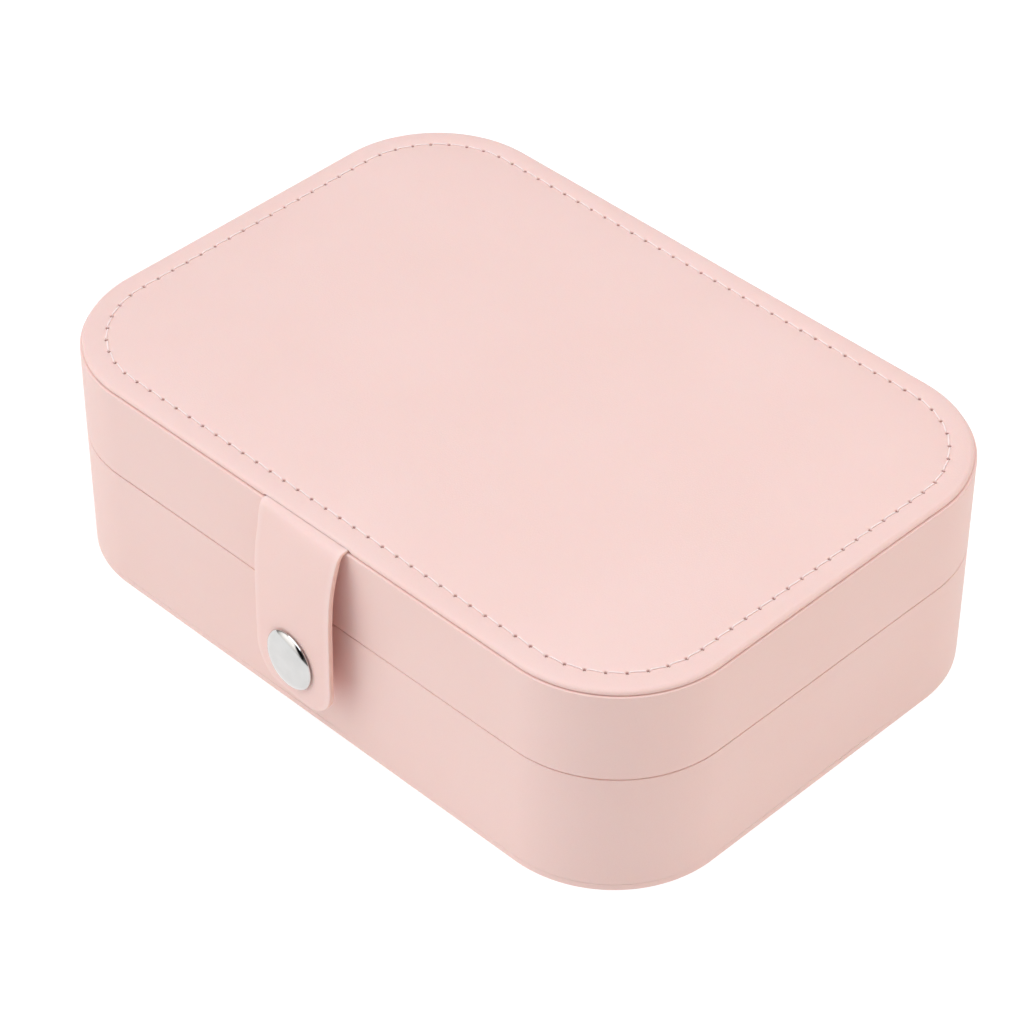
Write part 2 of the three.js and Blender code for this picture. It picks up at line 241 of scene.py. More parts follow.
def carry_round(name, track, profile, shape=None, closed=False):
    """A profile of (inset, height) carried round the track. shape may move the vertices.

    A profile that isn't closed starts and ends on the track's ridge.
    """
    grid = track.grid(profile)
    if shape:
        grid = shape(grid)
    faces = grid_faces(track.count, len(profile), True, closed)
    return mesh_object(name, grid.reshape(-1, 3), faces)


def smooth_noise(points, size, seed=0):
    """Gentle noise from -1 to 1 at each point. size is that of its bumps, in millimetres."""
    flat = points.reshape(-1, 3) / size + seed * 17.3
    return np.array([noise.noise(Vector(p)) for p in flat]).reshape(points.shape[:-1])


# ---- Materials ----

SOCKETS = {
    "metallic": "Metallic",
    "specular": "Specular IOR Level",
    "sheen": "Sheen Weight",
    "sheen_roughness": "Sheen Roughness",
    "subsurface": "Subsurface Weight",
    "subsurface_scale": "Subsurface Scale",
}


class Nodes:
    """A material's node tree, with short calls for the nodes used here."""

    def __init__(self, name):
        self.material = bpy.data.materials.new(name)
        self.material.use_nodes = True
        self.tree = self.material.node_tree
        self.shader = next(n for n in self.tree.nodes if n.type == "BSDF_PRINCIPLED")
        self.place = self.add("ShaderNodeTexCoord").outputs["Object"]

    def add(self, kind, **values):
        node = self.tree.nodes.new(kind)
        for key, value in values.items():
            setattr(node, key, value)
        return node

    def link(self, source, socket):
        self.tree.links.new(source, socket)

    def stretched(self, scale):
        mapping = self.add("ShaderNodeMapping")
        mapping.inputs["Scale"].default_value = scale
        self.link(self.place, mapping.inputs["Vector"])
        return mapping.outputs["Vector"]

    def noise(self, size_mm, detail=2.0, roughness=0.5, where=None):
        node = self.add("ShaderNodeTexNoise")
        node.inputs["Scale"].default_value = 1 / (size_mm * MM)
        node.inputs["Detail"].default_value = detail
        node.inputs["Roughness"].default_value = roughness
        self.link(where or self.place, node.inputs["Vector"])
        return node.outputs["Fac"]

    def cells(self, size_mm, feature="DISTANCE_TO_EDGE", where=None):
        node = self.add("ShaderNodeTexVoronoi", feature=feature)
        node.inputs["Scale"].default_value = 1 / (size_mm * MM)
        self.link(where or self.place, node.inputs["Vector"])
        return node.outputs["Distance"]

    def remap(self, value, low, high, to_low, to_high):
        node = self.add("ShaderNodeMapRange")
        for key, number in (("From Min", low), ("From Max", high), ("To Min", to_low), ("To Max", to_high)):
            node.inputs[key].default_value = number
        self.link(value, node.inputs["Value"])
        return node.outputs["Result"]

    def maths(self, operation, first, second):
        node = self.add("ShaderNodeMath", operation=operation)
        for socket, value in zip(node.inputs, (first, second)):
            if isinstance(value, (int, float)):
                socket.default_value = value
            else:
                self.link(value, socket)
        return node.outputs["Value"]

    def mix(self, share, first, second):
        node = self.add("ShaderNodeMix", data_type="RGBA")
        self.link(share, node.inputs[0])
        for socket, colour in ((node.inputs[6], first), (node.inputs[7], second)):
            if isinstance(colour, tuple):
                socket.default_value = (*colour, 1)
            else:
                self.link(colour, socket)
        return node.outputs[2]

    def attribute(self, name):
        return self.add("ShaderNodeAttribute", attribute_name=name).outputs["Fac"]

    def bump(self, height, distance_mm, strength=1.0, onto=None):
        node = self.add("ShaderNodeBump")
        node.inputs["Strength"].default_value = strength
        node.inputs["Distance"].default_value = distance_mm * MM
        self.link(height, node.inputs["Height"])
        if onto:
            self.link(onto, node.inputs["Normal"])
        return node.outputs["Normal"]

    def finish(self, colour, roughness, normal=None, **constants):
        for name, value in (("Base Color", colour), ("Roughness", roughness), ("Normal", normal)):
            if value is None:
                continue
            if isinstance(value, (int, float)):
                self.shader.inputs[name].default_value = value
            elif isinstance(value, tuple):
                self.shader.inputs[name].default_value = (*value, 1)
            else:
                self.link(value, self.shader.inputs[name])
        for name, value in constants.items():
            self.shader.inputs[SOCKETS[name]].default_value = value
        return self.material


# Colours, as linear red, green and blue.
LEATHER_PINK = (0.88, 0.615, 0.565)
LEATHER_PALE = (0.89, 0.63, 0.583)
LEATHER_DEEP = (0.80, 0.50, 0.44)
# Painted shade, for the needle holes.
HOLE_SHADE = (0.46, 0.25, 0.22)
EDGE_PAINT = (0.92, 0.55, 0.45)
EDGE_PALE = (0.95, 0.66, 0.58)
STRAP_BACK = (0.95, 0.49, 0.41)
STRAP_BACK_PALE = (0.96, 0.56, 0.48)
# Painted highlight: the pale tone beside a cut edge, as if it caught the light.
PAINTED_HIGHLIGHT = (0.93, 0.71, 0.67)
VELVET_ROSE = (0.69, 0.385, 0.35)
VELVET_PALE = (0.76, 0.45, 0.41)
VELVET_DEEP = (0.5, 0.24, 0.22)
VELVET_NAP = (0.56, 0.28, 0.26)
SATIN_ROSE = (0.78, 0.47, 0.43)
SATIN_PALE = (0.85, 0.55, 0.51)
THREAD_PINK = (0.94, 0.76, 0.73)
THREAD_PALE = (0.96, 0.81, 0.785)
NICKEL = (0.62, 0.61, 0.6)
NICKEL_PALE = (0.66, 0.65, 0.64)
BOARD_BROWN = (0.36, 0.29, 0.21)
BOARD_PALE = (0.5, 0.42, 0.32)
BOARD_SPECK = (0.2, 0.16, 0.12)
FOAM_CREAM = (0.86, 0.82, 0.74)
FOAM_PORE = (0.6, 0.55, 0.47)
FLOOR_GREY = (0.25, 0.25, 0.25)


def leather_material():
    """Smooth coated leather: fine pebble grain and faint cloudiness.

    It has painted shade in the needle holes, and a painted pale highlight beside a cut edge.
    """
    n = Nodes("leather")
    grain = n.cells(0.55)
    fine = n.noise(0.22, 3, 0.6)
    cloud = n.noise(34, 3)
    height = n.maths("ADD", n.remap(grain, 0, 0.25, 0, 1), n.maths("MULTIPLY", fine, 0.6))
    soft = n.bump(n.noise(7, 2), 0.1, 0.4)
    normal = n.bump(height, 0.02, 0.55, onto=soft)
    tone = n.mix(n.remap(cloud, 0.35, 0.65, 0, 1), LEATHER_PINK, LEATHER_PALE)
    tone = n.mix(n.remap(grain, 0, 0.08, 0.12, 0), tone, LEATHER_DEEP)
    painted_shade_and_highlight = n.attribute("painted_shade_and_highlight")
    # Painted shade: darkens the needle holes.
    tone = n.mix(n.remap(painted_shade_and_highlight, 0.05, 0.6, 0, 1), tone, HOLE_SHADE)
    # Painted highlight: paler beside a cut edge.
    tone = n.mix(n.remap(painted_shade_and_highlight, 0, -1, 0, 0.8), tone, PAINTED_HIGHLIGHT)
    roughness = n.remap(fine, 0.3, 0.7, 0.46, 0.6)
    return n.finish(tone, roughness, normal, specular=0.4, subsurface=0.12, subsurface_scale=0.0012)


def edge_paint_material():
    """The cut edge of the strap: two plies under a thin, slightly glossy coat of edge paint."""
    n = Nodes("edge_paint")
    streaks = n.noise(0.5, 3, where=n.stretched((1, 1, 0.15)))
    tone = n.mix(n.remap(streaks, 0.3, 0.7, 0, 1), EDGE_PAINT, EDGE_PALE)
    return n.finish(tone, n.remap(streaks, 0.3, 0.7, 0.4, 0.6), n.bump(streaks, 0.03, 0.4))


def strap_back_material():
    """The strap's back ply: a deeper rose, with the fine nap of split leather."""
    n = Nodes("strap_back")
    nap = n.noise(0.3, 4, 0.65)
    tone = n.mix(n.remap(nap, 0.3, 0.7, 0, 1), STRAP_BACK, STRAP_BACK_PALE)
    return n.finish(tone, 0.85, n.bump(nap, 0.05, 0.5), sheen=0.1, specular=0.2)


def velvet_material():
    """Velvet: short pile, a nap in small strokes, and wide faint marks where it was brushed."""
    n = Nodes("velvet")
    pile = n.noise(0.18, 4, 0.7)
    crushed = n.noise(9, 3)
    tone = n.mix(n.remap(crushed, 0.33, 0.67, 0, 1), VELVET_ROSE, VELVET_PALE)
    tone = n.mix(n.remap(pile, 0.35, 0.65, 0.25, 0), tone, VELVET_DEEP)
    nap = n.noise(1.3, 3, 0.6)
    tone = n.mix(n.remap(nap, 0.35, 0.65, 0.16, 0), tone, VELVET_NAP)
    normal = n.bump(pile, 0.12, 0.7, onto=n.bump(nap, 0.1, 0.35, onto=n.bump(crushed, 0.3, 0.3)))
    return n.finish(tone, 0.95, normal, sheen=0.6, sheen_roughness=0.35, specular=0.1)


def satin_material():
    """Satin cloth: a fine warp-faced weave that runs down the pocket."""
    n = Nodes("satin")
    threads = n.noise(0.3, 2, where=n.stretched((1, 0.12, 0.6)))
    weft = n.noise(0.35, 2, where=n.stretched((0.2, 1, 0.6)))
    cloud = n.noise(14, 2)
    weave = n.maths("ADD", threads, n.maths("MULTIPLY", weft, 0.5))
    tone = n.mix(n.remap(cloud, 0.35, 0.65, 0, 1), SATIN_ROSE, SATIN_PALE)
    roughness = n.remap(threads, 0.3, 0.7, 0.28, 0.42)
    return n.finish(tone, roughness, n.bump(weave, 0.05, 0.5), sheen=0.3, specular=0.6)


def thread_material():
    """Twisted sewing thread, paler than the leather."""
    n = Nodes("thread")
    twist = n.noise(0.12, 2, where=n.stretched((1, 1, 2)))
    tone = n.mix(n.remap(twist, 0.3, 0.7, 0, 1), THREAD_PINK, THREAD_PALE)
    return n.finish(tone, 0.6, n.bump(twist, 0.04, 0.5))


def metal_material():
    """Bright nickel plate with faint polishing marks."""
    n = Nodes("nickel")
    marks = n.noise(0.25, 3, where=n.stretched((1, 1, 0.08)))
    tone = n.mix(n.remap(n.noise(3, 2), 0.3, 0.7, 0, 1), NICKEL, NICKEL_PALE)
    return n.finish(tone, n.remap(marks, 0.3, 0.7, 0.1, 0.16), n.bump(marks, 0.002, 0.3), metallic=1.0)


def board_material():
    """Grey board: pressed fibres with dark specks."""
    n = Nodes("grey_board")
    fibres = n.noise(0.8, 4, 0.65, where=n.stretched((0.4, 1, 1)))
    specks = n.noise(0.35, 2)
    tone = n.mix(n.remap(fibres, 0.3, 0.7, 0, 1), BOARD_BROWN, BOARD_PALE)
    tone = n.mix(n.remap(specks, 0.66, 0.72, 0, 0.6), tone, BOARD_SPECK)
    return n.finish(tone, 0.9, n.bump(fibres, 0.06, 0.5))


def foam_material():
    """Cream foam with open pores."""
    n = Nodes("foam")
    pores = n.cells(0.7, "F1")
    tone = n.mix(n.remap(pores, 0.1, 0.5, 1, 0), FOAM_CREAM, FOAM_PORE)
    return n.finish(tone, 0.95, n.bump(pores, 0.25, 0.8))


leather = leather_material()
edge_paint = edge_paint_material()
strap_back = strap_back_material()
velvet = velvet_material()
satin = satin_material()
thread = thread_material()
metal = metal_material()
board = board_material()
foam = foam_material()


def place(piece, material, body=None, replaces=()):
    """Gives a finished piece its material and its body, and hides the nodes it stands for."""
    piece.data.materials.clear()
    piece.data.materials.append(material)
    if body:
        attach(piece, body)
    if replaces:
        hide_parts(*replaces)
    return piece


# ---- Stitching ----

def stitching(name, holes, up, closed):
    """Thread from hole to hole, dipping into each. up is the surface normal at each hole."""
    holes, up = np.asarray(holes, float), np.asarray(up, float)
    last = len(holes) if closed else len(holes) - 1
    vertices, faces = [], []
    sides, steps = 8, 13
    for k in range(last):
        start, end = holes[k], holes[(k + 1) % len(holes)]
        above = up[k] + up[(k + 1) % len(holes)]
        above /= np.linalg.norm(above)
        ahead = (end - start) / np.linalg.norm(end - start)
        across = np.cross(ahead, above)
        first = len(vertices)
        for t in np.linspace(0, 1, steps):
            dip = abs(2 * t - 1) ** 9
            middle = start + (end - start) * (0.5 + (t - 0.5) * STITCH_LENGTH)
            middle = middle + above * (STITCH_RISE - STITCH_DIP * dip) + across * STITCH_SLANT * (t - 0.5)
            radius = THREAD_RADIUS * (1 - 0.3 * dip)
            for a in np.arange(sides) * 2 * math.pi / sides:
                vertices.append(middle + radius * (math.cos(a) * across + 0.8 * math.sin(a) * above))
        faces += [[first + v for v in face] for face in grid_faces(steps, sides, False, True)]
        faces.append([first + v for v in range(sides)][::-1])
        faces.append([first + (steps - 1) * sides + v for v in range(sides)])
    return mesh_object(name, vertices, faces)


# ---- Outside of the case ----

def ripple(grid, amount, seed):
    """Leather is never quite straight: moves the outer face in and out a little."""
    out = grid - np.array([0, 0, 1]) * grid[..., 2:]
    length = np.linalg.norm(out[..., :2], axis=-1, keepdims=True)
    wave = smooth_noise(grid * np.array([1, 1, 0.6]), 22, seed) * amount
    return grid + out / np.maximum(length, 1e-6) * wave[..., None]


# The cover's face: its height above the crease at each inset, from the rolled edge to the middle.
ROLL_END = 1.5
COVER_FACE = [
    (ROLL_END, 1.14), (2.4, 1.23), (3.4, 1.25), (4.6, 1.22), (STITCH_INSET, 1.16), (6.2, 1.24),
    (8, 1.38), (12, 1.57), (20, 1.74), (35, 1.88), (HALF_Y, 1.95),
]
face_line = spline(COVER_FACE, 600)


def cover_height(inset):
    """The height of the cover's face at an inset."""
    return CREASE + np.interp(inset, face_line[:, 0], face_line[:, 1])


# Distances from the middle of a needle hole to the vertices round it, along the seam and across it.
NEAR_HOLE = np.array([0.12, 0.23, 0.35, 0.55, 1.0])
ACROSS_HOLE = np.array([0.12, 0.23, 0.35, 0.5, 0.75, 1.1, 1.5])
HOLE_RADIUS, HOLE_DEPTH = 0.33, 0.55
PUCKER_RADIUS, PUCKER_DEPTH = 1.1, 0.1  # the leather drawn down round each hole
COVER_INSETS = np.array([HALF_Y, 50, 42, 35, 29, 24, 20, 17, 14.5, 12.5, 11, 9.8, 8.8, 8, 7.4])


def top_profile(thickness):
    """The cover's section from the middle of its face, over the rolled edge, back to the middle.

    thickness is that of the leather. Points are (inset, height). Also gives the number of points
    before the tucked edge, which are those that show.
    """
    line = STITCH_INSET + np.r_[ACROSS_HOLE[::-1], 0, -ACROSS_HOLE]
    outer = [*COVER_INSETS, *line, 3.4, 2.9, 2.4, 1.95]
    widest, bulge = 0.45, CREASE + 0.3
    rise = cover_height(ROLL_END) - bulge
    width = ROLL_END - widest
    turns = np.radians(np.arange(90, -1, -9))
    rolled = [(widest + width * (1 - math.cos(t)), bulge + rise * math.sin(t)) for t in turns]
    tuck = np.radians(np.arange(18, 91, 18))
    tucked = [(widest + 0.3 * (1 - math.cos(t)), bulge - 0.32 * math.sin(t)) for t in tuck]
    width_in, rise_in = width - thickness * 0.6, rise - thickness
    tucked_end = widest + thickness
    inner = [(tucked_end + width_in * (1 - math.cos(t)), bulge + rise_in * math.sin(t)) for t in turns[::-2]]
    under = [3, 4.2, STITCH_INSET, 6.5, 9, 14, 24, 40, HALF_Y]
    shown = [*((i, cover_height(i)) for i in outer), *rolled, *tucked]
    hidden = [(tucked_end + 0.1, CREASE), *inner, *((i, cover_height(i) - thickness) for i in under)]
    return shown + hidden, len(shown)


SEAM_LENGTH = Track(4, at_inset=STITCH_INSET).length
STITCH_COUNT = round(SEAM_LENGTH / STITCH_PITCH)


def stitch_stations():
    """Shares of the seam's length, close together at each hole, and their distances from the hole."""
    pitch = SEAM_LENGTH / STITCH_COUNT
    offsets = np.r_[0, NEAR_HOLE, pitch / 2, pitch - NEAR_HOLE[::-1]]
    positions = (np.arange(STITCH_COUNT)[:, None] * pitch + offsets).ravel()
    away = np.tile(np.minimum(offsets, pitch - offsets), STITCH_COUNT)
    return positions / (STITCH_COUNT * pitch), away


def lift_over_strap(grid):
    """Raises the cover's tucked edge where the strap comes out from under it."""
    tail = box_mm("strap_tail")[0]
    x, y, z = grid[..., 0], grid[..., 1], grid[..., 2]
    near = np.clip((0.9 - tail[0] - np.abs(x)) / 0.8, 0, 1) * (y < tail[1] + 3)
    grid[..., 2] = z + (np.maximum(z, STRAP_TAIL_TOP + 0.09) - z) * near


def make_top_cover():
    """The lid's leather cover, with its rolled edge and needle holes, and the thread between them."""
    shares, away = stitch_stations()
    track = Track(len(shares), at_inset=STITCH_INSET, shares=shares)
    profile, shown_count = top_profile(COVER_LEATHER)
    insets = np.array([p[0] for p in profile])
    shown = np.arange(len(profile)) < shown_count
    on_face = shown & (np.arange(len(profile)) < len(COVER_INSETS) + 2 * len(ACROSS_HOLE) + 1)
    distance = np.hypot(away[:, None], (insets - STITCH_INSET)[None, :])
    hole = np.exp(-((distance / HOLE_RADIUS) ** 4)) * on_face
    pucker = np.exp(-((distance / PUCKER_RADIUS) ** 2)) * on_face
    grid = track.grid(profile)
    lift_over_strap(grid)
    grid[..., 2] += smooth_noise(grid * np.array([1, 1, 0.3]), 30, 3) * 0.04 * shown
    grid[..., 2] -= HOLE_DEPTH * hole + PUCKER_DEPTH * pucker
    grid = ripple(grid, 0.08, 4)
    stations_per_stitch = len(shares) // STITCH_COUNT
    seam_column = int(np.argmin(np.abs(insets - STITCH_INSET)))
    middle = grid[::stations_per_stitch, seam_column].copy()
    middle[:, 2] += HOLE_DEPTH + 0.07
    faces = grid_faces(track.count, len(profile), True, False)
    # The hole mask also carries the painted shade in each needle hole.
    cover = mesh_object("lid_top_leather", grid.reshape(-1, 3), faces, hole.reshape(-1))
    place(cover, leather, "lid", ["lid_top_cover"])
    seam = stitching("lid_top_stitching", middle, [(0, 0, 1)] * len(middle), True)
    place(seam, thread, "lid")


def make_foam():
    """The foam under the cover, close below its leather."""
    low, high = box_mm("lid_top_foam")
    inset = HALF_X - high[0] + 0.4
    floor = low[2] + 0.6
    under_leather = COVER_LEATHER + 0.15
    insets = [HALF_Y, 30, 14, 9.5, 7.5, 6.3, STITCH_INSET, 4.5, 3.6]
    profile = [(i, cover_height(i) - under_leather) for i in insets]
    profile += [(inset + 0.3, floor + 0.1), (inset + 0.4, floor)]
    profile += [(i, floor) for i in (14, 30, HALF_Y)]
    pad = carry_round("lid_top_padding", Track(248), profile)
    place(pad, foam, "lid", ["lid_top_foam"])


def wrap_profile(low, high, rim_is_top, edge_radius):
    """A side wrap's section: outer face, the fold over the board's rim, and the turn-in at its other edge.

    edge_radius is that of the other edge.
    """
    fold = LINING_INSET - GAP
    rim, other = (high, low) if rim_is_top else (low, high)
    inward = -LEATHER if rim_is_top else LEATHER
    turned = other - inward * 0.22
    corners = [
        (0, other, edge_radius),
        (0, rim, 0.32),
        (fold, rim, 0.3),
        (fold, rim + inward, 0.1),
        (LEATHER, rim + inward, 0.1),
        (LEATHER, turned, 0),
        (TURN_IN, turned, 0),
        (TURN_IN, other, 0.05),
    ]
    return [tuple(p) for p in rounded(corners, 5)]


def with_rows(profile, count=10):
    """Adds points along a section's long sides, so that they can ripple."""
    made = []
    for here, after in zip(profile, profile[1:] + profile[:1]):
        made.append(here)
        if abs(after[1] - here[1]) > 10:
            made += [
                (here[0] + (after[0] - here[0]) * t, here[1] + (after[1] - here[1]) * t)
                for t in np.linspace(0, 1, count + 2)[1:-1]
            ]
    return made


def ajar(grid):
    """Lifts the lid's rim a little towards the left, where the strap doesn't pull it quite shut."""
    at_rim = grid[..., 2] < SPLIT + 1.5
    grid[..., 2] += AJAR * np.clip(-grid[..., 0] / 40, 0, 1) * at_rim
    return grid


def make_side_wraps():
    """The leather round the base's wall and the lid's. Both ripple alike where they meet."""
    track = Track(744)
    start = BOTTOM_TOP + 0.02
    base_end, lid_start = SPLIT - SEAM_GAP / 2, SPLIT + SEAM_GAP / 2
    base_profile = with_rows(wrap_profile(start, base_end, True, 0.06))
    base = carry_round("base_side_leather", track, base_profile, lambda g: ripple(g, 0.1, 7), True)
    place(base, leather, "base", ["base_side_wrap"])
    wall_top = CREASE - 0.1
    lid_profile = with_rows(wrap_profile(lid_start, wall_top, False, 0.28))
    lid = carry_round("lid_side_leather", track, lid_profile, lambda g: ajar(ripple(g, 0.1, 7)), True)
    place(lid, leather, "lid", ["lid_side_wrap"])


def make_bottom():
    """The leather cover under the base."""
    edge = [(0.35, 0.0), (0.1, 0.06), (0, 0.25), (0, BOTTOM_TOP - 0.06), (0.02, BOTTOM_TOP - 0.01)]
    inner = [2, 8, 18, 30, 44, HALF_Y]
    under = [(i, 0) for i in inner[::-1]]
    profile = [*under, *edge, (0.08, BOTTOM_TOP), *((i, BOTTOM_TOP) for i in inner)]
    cover = carry_round("bottom_leather", Track(496), profile)
    place(cover, leather, "base", ["bottom_cover"])


# ---- Strap ----

FRONT = -HALF_Y
STRAP_HALF = box_mm("strap_front_ply")[1][0]
STRAP_FACE = box_mm("strap_front_ply")[0][1]
STRAP_END = box_mm("strap_front_ply")[0][2] - 0.3
STRAP_TAIL_TOP = CREASE + 0.55
TAIL_PLY = 0.7  # thickness under the cover
STRAP_THICK = 1.15  # and outside it
STRAP_LIP = 0.4
STRAP_TIP_RADIUS = 7.0
STRAP_TURN = 0.075  # radians about Z: the strap's free end lies nearer the wall on its left
STRAP_CURL = 0.004  # and that side curls a little towards the wall


def ribbon(name, path, half_width, thickness, tip_radius, lip, turn=None):
    """A flat strap whose outer face follows path, a list of (y, z). Its far end has round corners.

    thickness gives its thickness, and turn how far its face moves along Y, for a share of its length.
    lip is the radius of its rounded edges.
    """
    path = np.asarray(path, float)
    along = np.r_[0, np.cumsum(np.linalg.norm(np.diff(path, axis=0), axis=1))]
    length = along[-1]
    tip = length - tip_radius * (1 - np.cos(np.linspace(0, math.pi / 2, 30)[::-1]))
    straight = np.arange(0, length - tip_radius, 0.7)
    stops = np.unique(np.r_[straight, tip[tip > straight[-1] + 0.05]])
    y = np.interp(stops, along, path[:, 0])
    z = np.interp(stops, along, path[:, 1])
    dy, dz = np.gradient(y, stops), np.gradient(z, stops)
    size = np.hypot(dy, dz)
    inward = np.stack([-dz / size, dy / size], 1)
    across_steps = np.linspace(-1, 1, 17)[1:-1]
    loops = []
    for k, s in enumerate(stops):
        past = max(s - (length - tip_radius), 0)
        w = half_width - tip_radius + math.sqrt(max(tip_radius**2 - past**2, 0.0))
        t = thickness(s / length)
        near_end = min((length - s) / lip, 1)
        squeeze = max(math.sqrt(1 - (1 - near_end) ** 2), 0.1)
        flat = w - lip
        section = rounded([(w, 0, lip), (w, t, lip * 0.6), (-w, t, lip * 0.6), (-w, 0, lip)], 5)
        outer = np.column_stack([across_steps * flat, np.zeros(len(across_steps))])
        inner = np.column_stack([-across_steps * flat, np.full(len(across_steps), t)])
        section = np.vstack([outer, section[:12], inner, section[12:]])
        x = section[:, 0]
        deep = t / 2 + (section[:, 1] - t / 2) * squeeze
        shift = turn(s / length, x) if turn else 0
        loops.append(np.stack([x, y[k] + inward[k, 0] * deep + shift, z[k] + inward[k, 1] * deep], 1))
    return loft(name, loops)


def paint_edges(piece, half_width, tip_radius, end, axis):
    """Gives a ribbon's cut edge the edge paint, and paints a pale highlight on the leather beside it.

    The ribbon's far end is at end along axis.
    """
    def from_edge(point):
        reach = abs(end - point[axis] / MM)
        past = max(tip_radius - reach, 0)
        edge = half_width - tip_radius + math.sqrt(max(tip_radius**2 - past**2, 0))
        return min(edge - abs(point.x) / MM, reach), past

    piece.data.materials.append(edge_paint)
    for face in piece.data.polygons:
        inset, past = from_edge(face.center)
        sideways = math.hypot(face.normal.x, face.normal[axis] if past else 0)
        if inset < 0.45 and sideways > 0.5:
            face.material_index = 1
    # Painted highlight: the leather within about half a millimetre of the cut edge is made paler.
    lip_highlight = [-math.exp(-((from_edge(vertex.co)[0] / 0.55) ** 2)) for vertex in piece.data.vertices]
    piece.data.attributes["painted_shade_and_highlight"].data.foreach_set("value", lip_highlight)


def strap_path():
    """The strap's outer face, from its tail under the cover, over the edge and down the front."""
    tail = box_mm("strap_tail")[1][1]
    top = STRAP_TAIL_TOP
    bend = [(6, top), (1, top), (-0.6, top + 0.02), (-1.55, top - 0.45), (-2.35, top - 1.7)]
    bend += [(-3.0, CREASE - 3.2), (-3.9, CREASE - 6.8), (-4.55, CREASE - 11)]
    points = [(tail, top), *((FRONT + y, z) for y, z in bend)]
    points += [(STRAP_FACE + 0.2, CREASE - 17), (STRAP_FACE + 0.1, CREASE - 23)]
    points += [(STRAP_FACE, CREASE - 31), (STRAP_FACE, STRAP_END)]
    return spline(points, 400)


def make_strap():
    """The strap in one piece, bent where it comes out from under the cover."""
    def thickness(share):
        return TAIL_PLY + (STRAP_THICK - TAIL_PLY) * min(max((share - 0.235) / 0.06, 0), 1)

    def turn(share, x):
        amount = min(max((share - 0.15) / 0.23, 0), 1)
        amount = amount * amount * (3 - 2 * amount)
        return amount * (STRAP_CURL * x * x - STRAP_TURN * x)

    path = strap_path()
    strap = ribbon("strap_leather", path, STRAP_HALF, thickness, STRAP_TIP_RADIUS, STRAP_LIP, turn)
    place(strap, leather, None, ["strap_tail", "strap_front_ply", "strap_back_ply"])
    paint_edges(strap, STRAP_HALF, STRAP_TIP_RADIUS, STRAP_END, 2)
    strap.data.materials.append(strap_back)
    for face in strap.data.polygons:
        if face.normal.y > 0.5 and face.material_index == 0 and face.center.z < CREASE * MM:
            face.material_index = 2
    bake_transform(strap)


# ---- Snaps ----

def lathe(name, profile, axis, origin, sides=72):
    """Turns a profile of (radius, rise) about an axis through origin.

    The profile starts and ends on the axis, or else it is closed.
    """
    profile = np.asarray(profile, float)
    axis = np.asarray(axis, float)
    side = np.cross(axis, (1, 0, 0))
    other = np.cross(axis, side)
    angles = np.arange(sides) * 2 * math.pi / sides
    spokes = np.cos(angles)[:, None] * side + np.sin(angles)[:, None] * other
    grid = origin + spokes[:, None, :] * profile[None, :, :1] + axis * profile[None, :, 1:]
    closes = bool(profile[0][0] > 1e-6)
    return mesh_object(name, grid.reshape(-1, 3), grid_faces(sides, len(profile), True, closes))


# A cap's outer face, for a radius of 6.6: (radius, height over the strap), rim first.
CAP_FACE = [
    (5.9, 0.02), (6.25, 0), (6.48, 0.08), (6.6, 0.28), (6.56, 0.52), (6.4, 0.75), (6.1, 1.02), (5.7, 1.27),
    (5.2, 1.5), (4.6, 1.68), (3.9, 1.8), (3.0, 1.88), (2.0, 1.93), (1.0, 1.96), (0, 1.97),
]


def make_cap(name, node, body, seat, axis, scale=1.0):
    """A domed snap cap with its post. seat is the point of the strap's face that it stands on."""
    middle, half = middle_and_half(node)
    axis = np.array(axis, float)
    axis /= np.linalg.norm(axis)
    back = (np.array(seat) - middle) @ axis + abs(half @ axis)
    post = [(0, -back), (1.1 * scale, -back), (1.3 * scale, 0.2 - back), (1.3 * scale, 0.02)]
    face = spline(CAP_FACE, 80) * scale
    cap = lathe(name, [*post, *face[:-1], (0, face[-1][1])], axis, np.asarray(seat, float), 144)
    place(cap, metal, body, [node])


def make_round_part(name, node, body, profile, axis, face, scale=1.0):
    """A turned snap part whose profile is measured from the face its stud stands on."""
    corners = [(r * scale, z * scale, min(0.12 * scale, 0.12)) for r, z in profile]
    outline = rounded(corners, 3)
    part = lathe(name, outline, axis, np.asarray(face, float))
    place(part, metal, body, [node])


# Sections of a stud and of the socket over it: (radius, height over the face that the stud stands on).
STUD = [
    (1.2, 0.3), (5, 0.3), (5, 0.7), (4.6, 0.9), (1.8, 0.9), (1.7, 1.1), (1.7, 1.7),
    (2.2, 2.0), (2.2, 2.3), (1.5, 2.6), (0.3, 2.6), (0.3, 2.2), (1.2, 2.2),
]
SOCKET = [
    (2.8, 1.2), (5, 1.2), (5.2, 1.4), (5.2, 3.0), (5, 3.2), (1.6, 3.2), (1.6, 2.9), (2.8, 2.9),
]


TAB_SNAP_SCALE = 0.6


